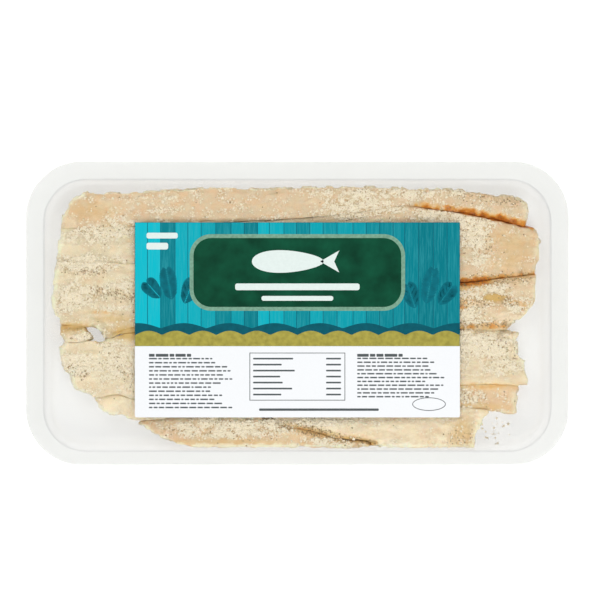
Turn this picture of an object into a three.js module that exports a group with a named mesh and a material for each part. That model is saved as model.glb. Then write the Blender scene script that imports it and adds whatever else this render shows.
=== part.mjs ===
// A shut tray pack of dried salted white fish. A thermoformed tray holds fillet strips laid side by
// side, a clear lid film is sealed over its flange, and a label is stuck on the film.
// Millimetres, +Z up. X runs along the tray, +Y towards its back edge. The origin is the centre of
// the tray's outline on the surface it stands on.
import * as THREE from 'three';
import { mergeVertices } from 'three/addons/utils/BufferGeometryUtils.js';

// ---- Driving dimensions ----

const tray = {
  length: 227, width: 127, height: 18, // the common 227 x 127 mm format, shallow
  wall: 0.5,
  flange: 7.3, // at the back and both ends
  flangeFront: 5.5,
  cornerRadius: 23.4, // outer outline
  pocketCornerRadius: 18, // at the lip
  draftDeg: 5,
  footRadius: 4, // inside, where the wall meets the floor
  lipRadius: 0.8, // inside, where the wall meets the flange
  cornerSteps: 10, roundSteps: 3,
};
const film = { thickness: 0.2, trim: 0.5 }; // cut off this far inside the flange's edge
const label = { length: 135.8, width: 81.5, thickness: 0.15, centreY: -2.8, cornerRadius: 0.8 };

const FISH_CLEARANCE = 0.3; // between the fish and the tray
const SEAM_GAP = 0.5; // between neighbouring strips, where they lie together
const CUT_EDGE_RADIUS = 1.5; // the strips' dried, slightly rounded cut edges
const GRID_CROWDING = 0.3; // how far a strip's grid lines crowd towards its edges
const GAPE_FROM = 0.4; // a crack opens above this share of a strip's height
const SQUEEZED = 1.5; // the depth of fish that gives way where a strip presses on the tray's wall

// ---- Small tools ----

const clamp = THREE.MathUtils.clamp;
const mix = THREE.MathUtils.lerp;
const draft = Math.tan(THREE.MathUtils.degToRad(tray.draftDeg));

/** A smooth function through [input, output] pairs. It doesn't overshoot, and is level past its ends. */
function through(...pairs) {
  const last = pairs.length - 1;
  const rises = pairs.slice(1).map(([x, y], i) => (y - pairs[i][1]) / (x - pairs[i][0]));
  const slopes = pairs.map((_, i) => {
    if (i === 0 || i === last || rises[i - 1] * rises[i] <= 0) return 0;
    return (2 * rises[i - 1] * rises[i]) / (rises[i - 1] + rises[i]);
  });
  return (at) => {
    if (at <= pairs[0][0]) return pairs[0][1];
    if (at >= pairs[last][0]) return pairs[last][1];
    const i = pairs.findIndex(([x]) => x > at) - 1;
    const [x0, y0] = pairs[i];
    const [x1, y1] = pairs[i + 1];
    const step = x1 - x0;
    const t = (at - x0) / step;
    const stay = (1 + 2 * t) * (1 - t) ** 2;
    const curl = step * (slopes[i] * t * (1 - t) ** 2 - slopes[i + 1] * t * t * (1 - t));
    return y0 * stay + y1 * (1 - stay) + curl;
  };
}

/** Seeded numbers from 0 to 1, the same on each run. */
function seeded(seed) {
  let state = seed;
  return () => {
    state = (state * 16807) % 2147483647;
    return state / 2147483647;
  };
}

/** The crags of one dried surface: slow swells with shorter flakes across them, about 1 at most. */
function crags(seed) {
  const random = seeded(seed);
  const waves = [46, 27, 17, 12, 9].map((length) => {
    const turn = mix(-0.5, 0.5, random()) * Math.PI;
    const pitch = (2 * Math.PI) / length;
    return { x: pitch * Math.cos(turn), y: pitch * Math.sin(turn), phase: random() * 2 * Math.PI };
  });
  return (x, y) => waves.reduce((sum, w) => sum + Math.sin(w.x * x + w.y * y + w.phase), 0) / 3;
}

// ---- Tray, film and label: rounded rectangles stacked up ----

/** A rounded rectangle at height z, anticlockwise from above. */
function ring(xMin, xMax, yMin, yMax, radius, z) {
  const corners = [
    [xMax - radius, yMin + radius, -90], [xMax - radius, yMax - radius, 0],
    [xMin + radius, yMax - radius, 90], [xMin + radius, yMin + radius, 180],
  ];
  return corners.flatMap(([x, y, startDeg]) => Array.from({ length: tray.cornerSteps + 1 }, (_, i) => {
    const angle = THREE.MathUtils.degToRad(startDeg + (90 * i) / tray.cornerSteps);
    return new THREE.Vector3(x + radius * Math.cos(angle), y + radius * Math.sin(angle), z);
  }));
}

/** A closed shell over rings of equal length, from the middle of the first to the middle of the last. */
function loft(rings) {
  const count = rings[0].length;
  const middle = (points) => points.reduce((sum, p) => sum.add(p), new THREE.Vector3()).divideScalar(count);
  const vertices = [...rings.flat(), middle(rings[0]), middle(rings.at(-1))];
  const [firstMiddle, lastMiddle] = [vertices.length - 2, vertices.length - 1];
  const lastRing = (rings.length - 1) * count;
  const faces = [];
  for (let i = 0; i < count; i += 1) {
    const next = (i + 1) % count;
    faces.push(firstMiddle, next, i, lastMiddle, lastRing + i, lastRing + next);
    for (let at = 0; at < lastRing; at += count) {
      faces.push(at + i, at + next, at + count + next, at + i, at + count + next, at + count + i);
    }
  }
  return new THREE.BufferGeometry().setFromPoints(vertices).setIndex(faces);
}

const trayHalfLength = tray.length / 2;
const trayHalfWidth = tray.width / 2;

/** The flange's outline, drawn in by some distance. */
function flangeRing(inset, z) {
  const [x, y] = [trayHalfLength - inset, trayHalfWidth - inset];
  return ring(-x, x, -y, y, tray.cornerRadius - inset, z);
}

const pocket = {
  xHalf: trayHalfLength - tray.flange,
  yMin: -trayHalfWidth + tray.flangeFront,
  yMax: trayHalfWidth - tray.flange,
};

/** The pocket's outline at the lip, drawn in by some distance. */
function pocketRing(inset, z) {
  const { xHalf, yMin, yMax } = pocket;
  const radius = tray.pocketCornerRadius - inset;
  return ring(-xHalf + inset, xHalf - inset, yMin + inset, yMax - inset, radius, z);
}

// The sheet's two bends, seen in section: [inset, z] of each bend's centre, which both faces share.
const wallAngle = THREE.MathUtils.degToRad(90 - tray.draftDeg);
const lipCentre = [0, tray.height - tray.lipRadius];
const footCentreZ = tray.wall + tray.footRadius;
const bends = tray.lipRadius + tray.footRadius;
const wallDrop = lipCentre[1] - footCentreZ + bends * Math.cos(wallAngle);
const footCentre = [bends * Math.sin(wallAngle) + wallDrop * draft, footCentreZ];

/** One face of the sheet as rings, from the floor out to the flange. offset is its depth in the sheet. */
function wallRings(offset) {
  const angles = Array.from({ length: tray.roundSteps + 1 }, (_, i) => (i / tray.roundSteps) * wallAngle);
  const bend = ([inset, z], radius) => (angle) => (
    pocketRing(inset + radius * Math.sin(angle), z + radius * Math.cos(angle))
  );
  const foot = angles.map(bend(footCentre, -tray.footRadius - offset));
  const lip = angles.map(bend(lipCentre, tray.lipRadius - offset));
  return [...foot, ...lip.reverse()];
}

/** How far the pocket's inner face is drawn in from the lip at height z. */
function wallInset(z) {
  const below = footCentre[1] - z;
  if (below > tray.footRadius * Math.cos(wallAngle)) {
    return footCentre[0] - Math.sqrt(Math.max(0, tray.footRadius ** 2 - below ** 2));
  }
  const wallTop = lipCentre[1] + tray.lipRadius * Math.cos(wallAngle);
  return tray.lipRadius * Math.sin(wallAngle) + (wallTop - z) * draft;
}

function trayGeometry() {
  const edge = [flangeRing(0, tray.height - tray.wall), flangeRing(0, tray.height)];
  return loft([...wallRings(tray.wall), ...edge, ...wallRings(0).reverse()]);
}

const filmTop = tray.height + film.thickness;

function filmGeometry() {
  return loft([flangeRing(film.trim, tray.height), flangeRing(film.trim, filmTop)]);
}

function labelGeometry() {
  const [x, y] = [label.length / 2, label.width / 2];
  const outline = (z) => ring(-x, x, label.centreY - y, label.centreY + y, label.cornerRadius, z);
  return loft([outline(filmTop), outline(filmTop + label.thickness)]);
}

// ---- Fish ----

const fishFloor = tray.wall + FISH_CLEARANCE;

/** Squeezes a point of the fish in from the pocket's wall and foot, where it would press into them. */
function insidePocket(point) {
  const inset = wallInset(point.z) + FISH_CLEARANCE;
  const radius = tray.pocketCornerRadius - inset;
  const centreY = (pocket.yMin + pocket.yMax) / 2;
  const straightX = pocket.xHalf - inset - radius;
  const straightY = (pocket.yMax - pocket.yMin) / 2 - inset - radius;
  const core = new THREE.Vector2(
    clamp(point.x, -straightX, straightX), centreY + clamp(point.y - centreY, -straightY, straightY),
  );
  const out = new THREE.Vector2(point.x, point.y).sub(core);
  const over = out.length() - (radius - SQUEEZED);
  if (over > 0) out.setLength(radius - SQUEEZED * Math.exp(-over / SQUEEZED));
  point.x = core.x + out.x;
  point.y = core.y + out.y;
}

/** Lumps and hollows of a surface. Each is [x, y, half length, half width, lift]. */
function marksLift(marks, x, y) {
  return marks.reduce((sum, [atX, atY, halfX, halfY, lift]) => (
    sum + lift * Math.exp(-(((x - atX) / halfX) ** 2) - ((y - atY) / halfY) ** 2)
  ), 0);
}

/**
 * One strip of fillet. back and front are its long edges, y as a function of x. left and right are
 * its ends, x as a function of the share of its width from front to back. top is its height along x,
 * and cross adds to that across its width. gapeBack and gapeFront open cracks along its upper edges.
 */
function stripGeometry(strip) {
  const none = () => 0;
  const {
    back, front, left, right, top, seed, segments,
    cross = none, gapeBack = none, gapeFront = none, marks = [], relief = 0.5, edge = CUT_EDGE_RADIUS,
  } = strip;
  const surface = crags(seed);
  const crowd = (t) => t * (1 + GRID_CROWDING * (1 - t * t));
  let geometry = new THREE.BoxGeometry(2, 2, 2, ...segments);
  geometry.deleteAttribute('normal').deleteAttribute('uv');
  geometry = mergeVertices(geometry);
  const positions = geometry.attributes.position;
  const point = new THREE.Vector3();
  for (let i = 0; i < positions.count; i += 1) {
    point.fromBufferAttribute(positions, i);
    const [along, across, up] = [crowd(point.x), crowd(point.y), point.z];
    const width = (across + 1) / 2;
    const middleX = (left(width) + right(width)) / 2;
    const halfLength = (right(width) - left(width)) / 2;
    const x = middleX + halfLength * along;
    const half = new THREE.Vector3(
      halfLength, (back(x) - front(x)) / 2, (top(x) + cross(width) - fishFloor) / 2,
    );
    const radius = Math.min(edge, 0.9 * half.y, 0.9 * half.z);
    const inner = half.clone().subScalar(radius);
    const onBox = new THREE.Vector3(along, across, up).multiply(half);
    const core = onBox.clone().clamp(inner.clone().negate(), inner);
    const out = onBox.sub(core).setLength(radius);
    const rounded = core.add(out);

    const atX = middleX + rounded.x;
    const rise = (rounded.z / half.z + 1) / 2;
    const open = Math.max(0, (rise - GAPE_FROM) / (1 - GAPE_FROM));
    const yBack = back(atX) - SEAM_GAP / 2 - gapeBack(atX) * open;
    const yFront = front(atX) + SEAM_GAP / 2 + gapeFront(atX) * open;
    const atY = mix(yFront, yBack, (rounded.y / half.y + 1) / 2);
    const facingUp = Math.max(0, out.z / radius);
    const lift = relief * surface(atX, atY) + marksLift(marks, atX, atY);
    point.set(atX, atY, fishFloor + half.z + rounded.z + lift * facingUp);
    insidePocket(point);
    positions.setXYZ(i, point.x, point.y, point.z);
  }
  return geometry;
}

/** A crack's opening along x: full over a stretch, and eased out at both ends. */
function crack(from, to, width, ease = 8) {
  return through([from - ease, 0], [from, width], [to, width], [to + ease, 0]);
}

// The lines where two neighbouring strips lie together, from the back of the tray to the front.
const seam12 = through(
  [-101, 35.6], [-68, 36.5], [1, 39.8], [34.5, 43.6], [47, 45.2], [56, 44.7], [72, 42.5],
  [89, 39], [98, 36.4],
);
const seam23 = through([-102, 21.4], [-60, 20], [0, 17], [68.8, 13.6], [85, 15.4], [99, 17]);
const seam45 = through(
  [-86, -34.2], [-76, -33.3], [-68, -36], [-30, -34], [20, -31.5], [70, -29.8], [92, -29.8],
);
const seam56 = through(
  [-85, -43], [-68, -44], [-40, -43], [-8, -40.8], [2, -39.6], [82, -39.6], [86, -41.2], [91, -41.4],
);
const seam67 = through(
  [-12, -44.6], [-6, -46.6], [12, -50], [30.5, -53.2], [33.5, -57.5], [43, -59], [76, -59],
);
const offcutBack = through([-67.5, -45.4], [-60, -44.8], [-40, -44], [-12, -44.6]);

const strips = {
  // The back strip, whose right half has split away from the next one along an open crack.
  fillet_1: {
    segments: [42, 4, 3], seed: 11, color: 0xdcc29a,
    back: through(
      [-98, 47.5], [-88, 50.9], [-72, 51.3], [-36, 52.7], [-11, 51.8], [32, 52.9], [55, 51.9], [92, 48.6],
    ),
    front: seam12,
    left: through([0, -100], [0.5, -98.6], [0.75, -96.7], [0.9, -93.5], [1, -90]),
    right: through([0, 95.6], [0.3, 97.2], [0.75, 97], [1, 93]),
    top: through([-100, 13.4], [-80, 15], [-20, 15.4], [60, 15.6], [97, 14.8]),
    cross: through([0, 0], [0.5, 0.5], [1, -1]),
    gapeFront: crack(58, 97, 0.9),
  },
  // A broad strip with a smooth, thin right end.
  fillet_2: {
    segments: [44, 6, 3], seed: 23, color: 0xe2cba8,
    back: seam12,
    front: seam23,
    left: through([0, -101.6], [0.5, -100.8], [1, -100]),
    right: through([0, 98.6], [0.25, 100.6], [0.85, 100.6], [1, 98.8]),
    top: through([-101, 13.2], [-70, 14.6], [0, 14.8], [70, 15], [86, 13.8], [101, 11.6]),
    cross: through([0, -0.4], [0.5, 0.5], [1, -0.3]),
    gapeBack: crack(58, 101, 1),
    gapeFront: crack(70, 97, 0.8),
    marks: [[-90, 21.5, 9, 3, 0.7], [73, 33, 6, 5, 0.6]],
  },
  // The middle strip. Its front edge has a lobe near the left end, and its right end has flaked.
  fillet_3: {
    segments: [48, 8, 3], seed: 37, color: 0xe3cca6,
    back: seam23,
    front: through(
      [-100, -3.6], [-89, -5.4], [-84.6, -6.4], [-81.4, -9.8], [-78, -10], [-75.6, -6.7],
      [-60, -6.4], [0, -5.6], [69, -5.2], [92, -5.2],
    ),
    left: through([0, -99], [0.15, -101.6], [0.5, -102.8], [0.8, -102.1], [1, -101.5]),
    right: through([0, 89], [0.12, 92.5], [0.3, 96.6], [0.5, 98.8], [1, 98.8]),
    top: through([-102, 13.8], [-75, 15.2], [0, 15.2], [65, 15.4], [99, 13.8]),
    cross: through([0, -0.6], [0.3, 0.5], [0.8, 0.4], [1, -0.5]),
    gapeBack: crack(70, 97, 0.9),
    gapeFront: crack(66, 92, 1),
    marks: [
      [-85, -8, 5, 3.4, -3], [-90, 19, 9, 3, 0.6], [-79, -1.4, 9, 2.4, 0.9], [-86, 6.5, 9, 1.6, -0.8],
      [83.3, 6.4, 5, 2.2, -1.5], [84, 11, 4, 2, 0.8], [70, 2.4, 3, 1.8, -1.5],
    ],
    relief: 0.6,
  },
  // The broadest strip, cut back at its left end to show the one beside it.
  fillet_4: {
    segments: [46, 9, 3], seed: 41, color: 0xe0c8a4,
    back: through(
      [-99.2, -12.2], [-92, -12.6], [-86, -12.2], [-80.4, -11.4], [-68, -10.2],
      [-58, -8.4], [0, -6.2], [69, -5.8], [84, -6.2], [89, -7.2], [95, -7.4],
    ),
    front: seam45,
    left: through([0, -86], [0.2, -91], [0.48, -94.6], [0.58, -98.4], [0.72, -99.6], [1, -99.6]),
    right: through([0, 94.6], [0.4, 95.4], [0.55, 92.4], [0.85, 91.8], [1, 92.6]),
    top: through([-100, 12.6], [-88, 14.6], [0, 15.4], [70, 15], [95, 13.6]),
    cross: through([0, -0.8], [0.25, 0.4], [0.8, 0.5], [1, -0.6]),
    gapeBack: crack(66, 84, 0.9),
    marks: [[-84, -12.4, 7, 3, -2.6], [-80.8, -31, 7, 1.6, 0.9], [-94, -22, 4, 2.5, -0.8], [72, -26, 12, 2, 0.7]],
    relief: 0.6,
  },
  // A lower strip that shows in front of the broad one at both ends.
  fillet_5: {
    segments: [38, 4, 3], seed: 53, color: 0xe6d2a6,
    back: seam45,
    front: seam56,
    left: through([0, -72], [0.12, -76], [0.3, -80.5], [0.6, -83.4], [1, -85.2]),
    right: through([0, 90.2], [0.5, 91], [1, 90.4]),
    top: through([-86, 12], [-60, 14.2], [0, 14.8], [70, 14.8], [92, 12.8]),
    cross: through([0, -0.6], [1, 0.4]),
  },
  // A pale short piece leaning on the front wall, with a curled rim at its right end.
  offcut_right: {
    segments: [32, 6, 3], seed: 61, color: 0xe8d8b8,
    back: seam56,
    front: seam67,
    left: () => -12,
    right: through([0, 74.6], [0.5, 75.4], [0.75, 76.8], [0.9, 79], [1, 81]),
    top: through([-12, 13], [0, 14], [60, 14.6], [69, 14], [74.5, 15.6], [82, 15]),
    cross: through([0, 1.4], [0.3, 0.8], [0.7, 0], [1, 0.4]),
    marks: [[68.5, -51.5, 4.5, 4.5, -0.9]],
  },
  // A brown, salty short piece along the front wall, pointed at one end and cut square at the other.
  offcut_left: {
    segments: [34, 4, 3], seed: 71, color: 0xd2b184,
    back: (x) => (x < -12 ? offcutBack(x) : seam67(x)),
    front: through(
      [-67.5, -46.6], [-61.5, -50.2], [-55, -53.8], [-49, -56.2], [-36.5, -58.6], [-15, -59.4],
      [1, -58.8], [31.2, -59],
    ),
    left: () => -67.4,
    right: () => 31.2,
    top: through([-67, 11.4], [-50, 14], [-10, 14.8], [31, 13.6]),
    cross: through([0, 1.6], [0.4, 0.8], [1, 0]),
    relief: 0.7,
  },
  // A small broken flake, wedged between the middle strip and the broad one.
  flake: {
    segments: [9, 5, 3], seed: 83, color: 0xc99a5c,
    back: through([-98, -4.8], [-91, -5.6], [-87.6, -7.2], [-85, -9.2]),
    front: through([-98.5, -11.6], [-92, -11.9], [-85, -11.4]),
    left: through([0, -96.6], [0.6, -98.4], [1, -97.6]),
    right: through([0, -85], [0.6, -85.6], [1, -87.6]),
    top: through([-98, 11.2], [-93, 13.6], [-86, 12.2]),
    cross: through([0, 0.8], [0.5, -0.6], [1, 0]),
    edge: 1.4,
  },
};

// ---- The pack ----

function piece(name, geometry, look) {
  geometry.computeVertexNormals();
  const mesh = new THREE.Mesh(geometry, new THREE.MeshStandardMaterial({ name, ...look }));
  mesh.name = name;
  return mesh;
}

const trayLook = { color: 0xeeefec, roughness: 0.35, metalness: 0, transparent: true, opacity: 0.7 };
const filmLook = { color: 0xffffff, roughness: 0.08, metalness: 0, transparent: true, opacity: 0.12 };
const labelLook = { color: 0x1aa7bd, roughness: 0.45, metalness: 0 };

const pack = new THREE.Group();
pack.name = 'tray_pack';
pack.add(
  piece('tray', trayGeometry(), trayLook),
  piece('lid_film', filmGeometry(), filmLook),
  piece('label', labelGeometry(), labelLook),
);
for (const [name, strip] of Object.entries(strips)) {
  pack.add(piece(name, stripGeometry(strip), { color: strip.color, roughness: 0.75, metalness: 0 }));
}

export default pack;
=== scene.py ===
"""A shut tray pack of dried salted white fish, dressed piece by piece round its solid model."""
import math
import random

import bmesh
import bpy
import numpy as np
from mathutils import Euler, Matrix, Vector, noise
from mathutils.bvhtree import BVHTree


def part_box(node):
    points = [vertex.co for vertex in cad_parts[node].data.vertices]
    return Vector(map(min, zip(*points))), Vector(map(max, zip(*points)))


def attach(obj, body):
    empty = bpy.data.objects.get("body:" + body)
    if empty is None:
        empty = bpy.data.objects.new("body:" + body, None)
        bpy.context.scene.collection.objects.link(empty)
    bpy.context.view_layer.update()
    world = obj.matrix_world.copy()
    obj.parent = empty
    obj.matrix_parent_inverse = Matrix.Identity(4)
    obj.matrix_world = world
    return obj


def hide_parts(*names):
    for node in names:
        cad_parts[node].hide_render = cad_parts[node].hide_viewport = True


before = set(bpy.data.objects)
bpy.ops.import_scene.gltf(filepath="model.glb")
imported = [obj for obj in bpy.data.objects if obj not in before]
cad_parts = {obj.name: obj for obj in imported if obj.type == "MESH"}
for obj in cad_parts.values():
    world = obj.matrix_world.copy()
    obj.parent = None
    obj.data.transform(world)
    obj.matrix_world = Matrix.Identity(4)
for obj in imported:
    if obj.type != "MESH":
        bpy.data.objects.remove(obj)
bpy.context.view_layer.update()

# ---- Tray ------------------------------------------------------------------------------------
# One thermoformed sheet of milky polypropylene. It has a flat flange to seal the film on, a wall
# with a slight draft, and a flat floor; every bend is rounded by the mould.

MM = 0.001
SHEET = 0.5 * MM
FLANGE, FLANGE_FRONT = 7.3 * MM, 5.5 * MM
UNDER_FILM = 0.03 * MM  # keeps the flange's top apart from the film's underside
OUTER_CORNER, POCKET_CORNER = 23.4 * MM, 18 * MM
LIP_RADIUS, FOOT_RADIUS = 0.8 * MM, 4 * MM
DRAFT = math.radians(5)
CORNER_STEPS, BEND_STEPS = 24, 5
FLOOR_RING = 1 * MM  # a narrow ring that keeps the foot's shading off the floor
PEEL = 5 * MM  # width of the faint dimples that the mould leaves
tray_low, tray_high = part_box("tray")


def linear(hex_colour):
    """An sRGB hex colour, such as "E0C8A0", as the linear colour that a shader takes."""
    parts = [int(hex_colour[i:i + 2], 16) / 255 for i in (0, 2, 4)]
    return (*[c / 12.92 if c <= 0.04045 else ((c + 0.055) / 1.055) ** 2.4 for c in parts], 1)


def plug(material, node, links):
    """Links outputs to a node's inputs, each by its name or number."""
    for key, source in links.items():
        material.node_tree.links.new(source, node.inputs[key])


def add_node(material, kind, links=None, **settings):
    """Adds a shader node. A setting is a property, or an input by its name or, as in i6, its number."""
    made = material.node_tree.nodes.new("ShaderNode" + kind)
    for key, value in settings.items():
        if hasattr(made, key):
            setattr(made, key, value)
        else:
            made.inputs[int(key[1:]) if key[1:].isdigit() else key.replace("_", " ")].default_value = value
    plug(material, made, links or {})
    return made


def new_material(name, **surface):
    """A material of one Principled shader, and that shader."""
    material = bpy.data.materials.new(name)
    material.use_nodes = True
    shader = material.node_tree.nodes["Principled BSDF"]
    for key, value in surface.items():
        shader.inputs[key.replace("_", " ")].default_value = value
    return material, shader


def mesh_of(bm, name):
    mesh = bpy.data.meshes.new(name)
    bm.to_mesh(mesh)
    bm.free()
    return mesh


def linked(name, data):
    """A new object in the scene."""
    made = bpy.data.objects.new(name, data)
    bpy.context.scene.collection.objects.link(made)
    return made


def new_piece(name, mesh, material, smooth=True):
    """A mesh as a piece that rides with the pack."""
    piece = linked(name, mesh)
    mesh.materials.clear()
    mesh.materials.append(material)
    mesh.shade_smooth() if smooth else mesh.shade_flat()
    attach(piece, "root")
    return piece


def rounded_outline(bm, low, high, radius, z, steps=CORNER_STEPS):
    """A flat face with round corners, facing up."""
    corners = [bm.verts.new((x, y, z)) for x, y in (low, (high[0], low[1]), high, (low[0], high[1]))]
    bm.faces.new(corners)
    made = bmesh.ops.bevel(
        bm, geom=corners, offset=radius, offset_type="OFFSET", affect="VERTICES",
        segments=steps, profile=0.5, material=-1,
    )
    return made["verts"][0].link_faces[0]


def tray_mesh():
    """A flange filled in round the pocket, which is inset bend by bend down to the floor."""
    bm = bmesh.new()
    x, y, top = tray_high.x, tray_high.y, tray_high.z - UNDER_FILM
    pocket = rounded_outline(
        bm, (-x + FLANGE, -y + FLANGE_FRONT), (x - FLANGE, y - FLANGE), POCKET_CORNER, top
    )
    pocket_rim = list(pocket.edges)
    outline = rounded_outline(bm, (-x, -y), (x, y), OUTER_CORNER, top)
    outline_rim = list(outline.edges)
    bmesh.ops.delete(bm, geom=[outline], context="FACES_ONLY")
    bmesh.ops.triangle_fill(bm, edges=pocket_rim + outline_rim, use_beauty=True, use_dissolve=False)

    wall = math.pi / 2 - DRAFT
    turns = [wall * i / BEND_STEPS for i in range(BEND_STEPS + 1)]
    lip = [(LIP_RADIUS * math.sin(t), LIP_RADIUS * (1 - math.cos(t))) for t in turns]
    foot = [(-FOOT_RADIUS * math.sin(t), -FOOT_RADIUS * (1 - math.cos(t))) for t in reversed(turns)]
    depth = top - SHEET
    straight = depth - lip[-1][1] + foot[0][1]
    shift = lip[-1][0] + straight * math.tan(DRAFT) - foot[0][0]
    profile = lip + [(inset + shift, depth + rise) for inset, rise in foot]
    for (inset, drop), (next_inset, next_drop) in zip(profile, profile[1:]):
        bmesh.ops.inset_region(
            bm, faces=[pocket], thickness=next_inset - inset, depth=drop - next_drop, use_even_offset=True
        )
    bmesh.ops.inset_region(bm, faces=[pocket], thickness=FLOOR_RING, use_even_offset=True)
    bmesh.ops.recalc_face_normals(bm, faces=bm.faces)
    if pocket.normal.z < 0:
        bmesh.ops.reverse_faces(bm, faces=bm.faces)
    bmesh.ops.solidify(bm, geom=bm.faces[:], thickness=SHEET)
    for v in bm.verts:
        v.co.z = max(v.co.z, 0)
    return mesh_of(bm, "tray_sheet")


def sheet_look(name, alpha, heights):
    """Moulded polypropylene: satin and milky, with a faint orange-peel. heights gives its colour, painted
    shade included, at shares of the tray's height."""
    look, shader = new_material(name, Roughness=0.3, IOR=1.49, Alpha=alpha)
    place = add_node(look, "TexCoord").outputs["Object"]
    parts = add_node(look, "SeparateXYZ", {"Vector": place})
    share = add_node(look, "MapRange", {"Value": parts.outputs["Z"]}, i1=0, i2=tray_high.z, i3=0, i4=1)
    ramp = add_node(look, "ValToRGB", {"Fac": share.outputs[0]})
    (_, first), *middle, (_, last) = heights
    ramp.color_ramp.elements[0].color, ramp.color_ramp.elements[1].color = linear(first), linear(last)
    for height, colour in middle:
        ramp.color_ramp.elements.new(height).color = linear(colour)
    dimples = add_node(look, "TexNoise", {"Vector": place}, Scale=1 / PEEL, Detail=2)
    bump = add_node(look, "Bump", {"Height": dimples.outputs["Fac"]}, Strength=0.25, Distance=0.05 * MM)
    plug(look, shader, {"Base Color": ramp.outputs["Color"], "Normal": bump.outputs["Normal"]})
    return look


# The wall and floor are drawn out thin, so they are clearer than the flange, which keeps the sheet's
# full thickness. The colour is darker up the wall than on the floor and darkest at the bend under the
# flange: painted shade, and also the look of the most plastic being seen there.
drawn_sheet_painted_shade = sheet_look("milky_polypropylene_drawn_painted_shade", 0.27, (
    (0, "C6C7C4"), (0.05, "C6C7C3"), (0.13, "B2B3AC"), (0.9, "B2B3AC"), (0.95, "54554E"), (1, "54554E"),
))
full_sheet = sheet_look("milky_polypropylene_flange", 0.6, ((0, "E9EAE7"), (1, "E9EAE7")))

tray = new_piece("tray_sheet", tray_mesh(), drawn_sheet_painted_shade)
tray.data.materials.append(full_sheet)
under_flange = tray_high.z - UNDER_FILM - SHEET - 0.02 * MM
for face in tray.data.polygons:
    if face.center.z > under_flange and face.normal.z ** 2 > 0.98:  # the flange's two flat sides
        face.material_index = 1
tray.data.set_sharp_from_angle(angle=math.radians(50))
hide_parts("tray")

# ---- Fillet strips ---------------------------------------------------------------------------
# Skinless white-fish fillets, salted and dried until stiff, then cut into strips. The flesh is
# cream to tan, rough with torn flakes and salt, and amber where a crack cuts into it: partly its own
# colour, partly a painted glow of light through the flesh and painted shade deeper in the crack.

VOXEL = 0.5 * MM
OFF_FLOOR = 0.6 * MM  # the lowest that flesh reaches, just clear of the tray's floor
# Each strip: how tan its flesh is at its left and right ends, from 0 (cream) to 1, and how warm that tan
# is; then from which x its right end is drawn out and how much longer it gets, in mm.
STRIPS = {
    "fillet_1": (0.85, 1.3, 0.75, 0.5, 0, 0), "fillet_2": (0.52, 0.95, 0.1, 0.75, 86, 1.5),
    "fillet_3": (0.6, 0.65, 0.2, 0.7, 84, 1.8), "fillet_4": (0.35, 0.45, 0.4, 0.4, 80, 0.8),
    "fillet_5": (0.1, 0.9, 0.5, 1.0, 76, 0.9), "offcut_right": (0.0, 0.35, 0.6, 0.8, 0, 0),
    "offcut_left": (0.9, 0.8, 0.8, 0.8, 0, 0), "flake": (0.4, 0.2, 0.7, 0.5, 0, 0),
}
DRAWN_OVER, DRAWN_MOST = 12, 1.2  # over what length, in mm, and the most past it, as a share

# How far strips sink into each other, and how much further where three of them meet.
PRESSED, OVERLAP = 0.06 * MM, 0.5 * MM
SIDE_LEVEL = 5 * MM  # a height where their sides stand upright, to take distances at
CAST_FROM = 30 * MM  # a height above them all
# The rest is in mm.
EDGE, GROOVE = 1.5, 0.12  # the solids' rounded edge, and the groove that is left of it
CLOSED, BRIDGE = 6.0, 10  # how wide a gap closes, and how wide it may be where flesh bridges it
SIDE_BAND = 2.4  # how far in from its side a strip is still drawn along
# How far points look for their own side and for the next strip, and what is noted if there is none.
OWN_REACH, NEXT_REACH, LONE_GAP = 9, 12, 20.0

# Where a seam gapes: two ends and how deep it stays open, in mm. The strip behind it slopes down to the
# one in front, which has a steep wall. Elsewhere the strips have dried together, with a shallow crease.
GAPES = (
    (50, 45.2, 68, 43, 1.4), (68, 43, 97, 37, 2.4), (66, 13.4, 84, 15, 1.8), (84, 15, 99, 16.8, 1.2),
    (64, -5.4, 86, -5.4, 2.2), (-6, -46.6, 25, -52.4, 1.4), (22, -52, 33, -54, 2.2),
    (-84, -31, -60, -36, 0.8),
)
# Where the tray shows between strips, where flesh bridges a wide gap, and where three strips meet: two
# ends, in mm.
HOLES = ((91, -5, 100, -4.5), (-86.5, -8.6, -83, -9.6), (101, 37, 110, 36))
BRIDGED = ((-76, -8.4, -58, -8), (-44, -43.7, -8, -42.8))
TRIPLE = (-12, -44.4, -11, -44.4)
# Where salt has crusted: centre x and y, half length and half width in mm, and how thick it is.
SALTY = (
    (-89, 20.6, 12, 3, 1), (-84, 33, 12, 4, 0.55), (-74, 36, 7, 5, 0.5), (73, 34, 8, 7, 1),
    (60, 41, 12, 4, 0.8), (25, 44, 16, 4, 0.75), (78, 8.8, 11, 3, 0.8), (72, -1, 8, 3.4, 0.9),
    (76, -14, 14, 5.5, 1), (84, -22, 8, 3, 0.7), (-92, -21, 9, 4, 1), (-76, -20, 8, 7, 0.75),
    (-30, -48, 22, 4, 0.9), (-16, -46.4, 10, 2, 1), (14, -53.4, 14, 1.6, 0.5), (72, -36, 7, 3.4, 0.45),
    (8, -45.4, 12, 1.6, 0.9), (92, 4, 5, 5, 0.6), (78, 22.6, 10, 3, 0.35), (-93, 9, 7, 3, 0.7),
    (-96, 4, 7, 3, 0.6), (-74, 2.4, 7, 1.6, 0.5), (-72, 11.5, 8, 2, 0.8), (-60, 44, 8, 4, 0.25),
    (69, -51, 4, 4, 0.4), (73, -9.6, 7, 2.4, 1), (40, 50, 30, 2, 0.5), (-89.5, -9.8, 3.2, 1.4, 0.7),
)
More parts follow.
